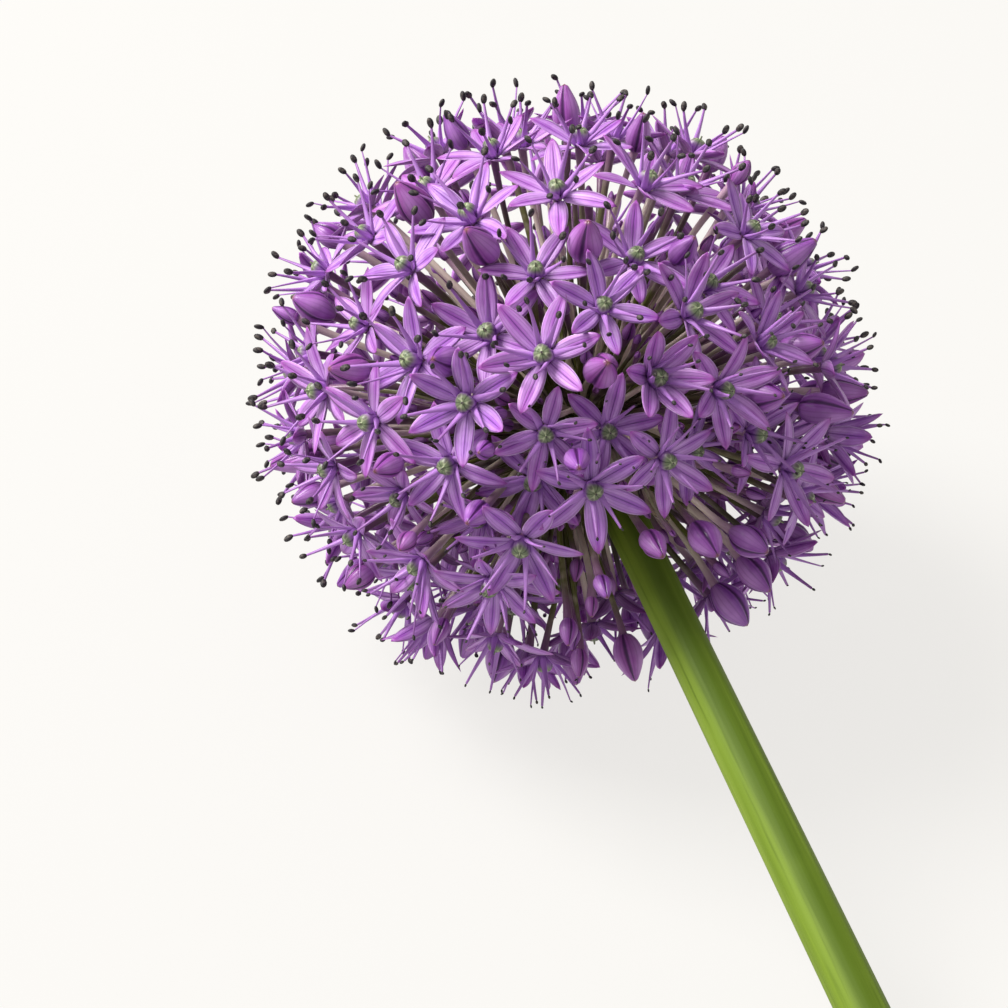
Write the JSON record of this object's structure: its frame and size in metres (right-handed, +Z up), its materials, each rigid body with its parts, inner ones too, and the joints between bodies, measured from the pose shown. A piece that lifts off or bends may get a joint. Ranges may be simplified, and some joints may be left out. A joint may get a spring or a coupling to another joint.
{
  "type": "allium flower head",
  "caption": "Globe-shaped allium flower head of star-shaped violet florets and buds on thin stalks, with its cut green stem, lying on its side.",
  "frame": {"origin": "on the surface that the flower lies on, under the middle of its bounding box", "axes": "+Z up; +Y along the stem towards the flower head, level with the surface; +X to the right when the stem's cut end is nearest"},
  "size_m": [0.0997, 0.1951, 0.0943],
  "materials": {
    "stem_green": "smooth waxy green skin with fine lengthwise streaks, darker green on one side",
    "dry_bract": "dry papery whitish tan",
    "tepal_violet": "satin violet petals with darker midribs; green to brown-purple stalks; grey-green centres; near-black anthers"
  },
  "bodies": {
    "root": {"scape": "stem_green", "spathe_bract_1": "dry_bract", "spathe_bract_2": "dry_bract", "spathe_bract_3": "dry_bract", "floret_cluster_01": "tepal_violet", "floret_cluster_02": "tepal_violet", "floret_cluster_03": "tepal_violet", "floret_cluster_04": "tepal_violet", "floret_cluster_05": "tepal_violet", "floret_cluster_06": "tepal_violet", "floret_cluster_07": "tepal_violet", "floret_cluster_08": "tepal_violet", "floret_cluster_09": "tepal_violet", "floret_cluster_10": "tepal_violet", "floret_cluster_11": "tepal_violet", "floret_cluster_12": "tepal_violet", "floret_cluster_13": "tepal_violet", "floret_cluster_14": "tepal_violet", "floret_cluster_15": "tepal_violet", "floret_cluster_16": "tepal_violet", "floret_cluster_17": "tepal_violet", "floret_cluster_18": "tepal_violet", "floret_cluster_19": "tepal_violet", "floret_cluster_20": "tepal_violet", "floret_cluster_21": "tepal_violet", "floret_cluster_22": "tepal_violet", "floret_cluster_23": "tepal_violet", "floret_cluster_24": "tepal_violet", "floret_cluster_25": "tepal_violet", "floret_cluster_26": "tepal_violet", "floret_cluster_27": "tepal_violet", "floret_cluster_28": "tepal_violet", "floret_cluster_29": "tepal_violet", "floret_cluster_30": "tepal_violet", "floret_cluster_31": "tepal_violet", "floret_cluster_32": "tepal_violet", "floret_cluster_33": "tepal_violet", "floret_cluster_34": "tepal_violet", "floret_cluster_35": "tepal_violet", "floret_cluster_36": "tepal_violet", "floret_cluster_37": "tepal_violet", "floret_cluster_38": "tepal_violet", "floret_cluster_39": "tepal_violet", "floret_cluster_40": "tepal_violet", "floret_cluster_41": "tepal_violet", "floret_cluster_42": "tepal_violet", "floret_cluster_43": "tepal_violet", "floret_cluster_44": "tepal_violet", "floret_cluster_45": "tepal_violet", "floret_cluster_46": "tepal_violet", "floret_cluster_47": "tepal_violet", "floret_cluster_48": "tepal_violet", "floret_cluster_49": "tepal_violet", "floret_cluster_50": "tepal_violet", "floret_cluster_51": "tepal_violet", "floret_cluster_52": "tepal_violet"}
  },
  "joints": []
}
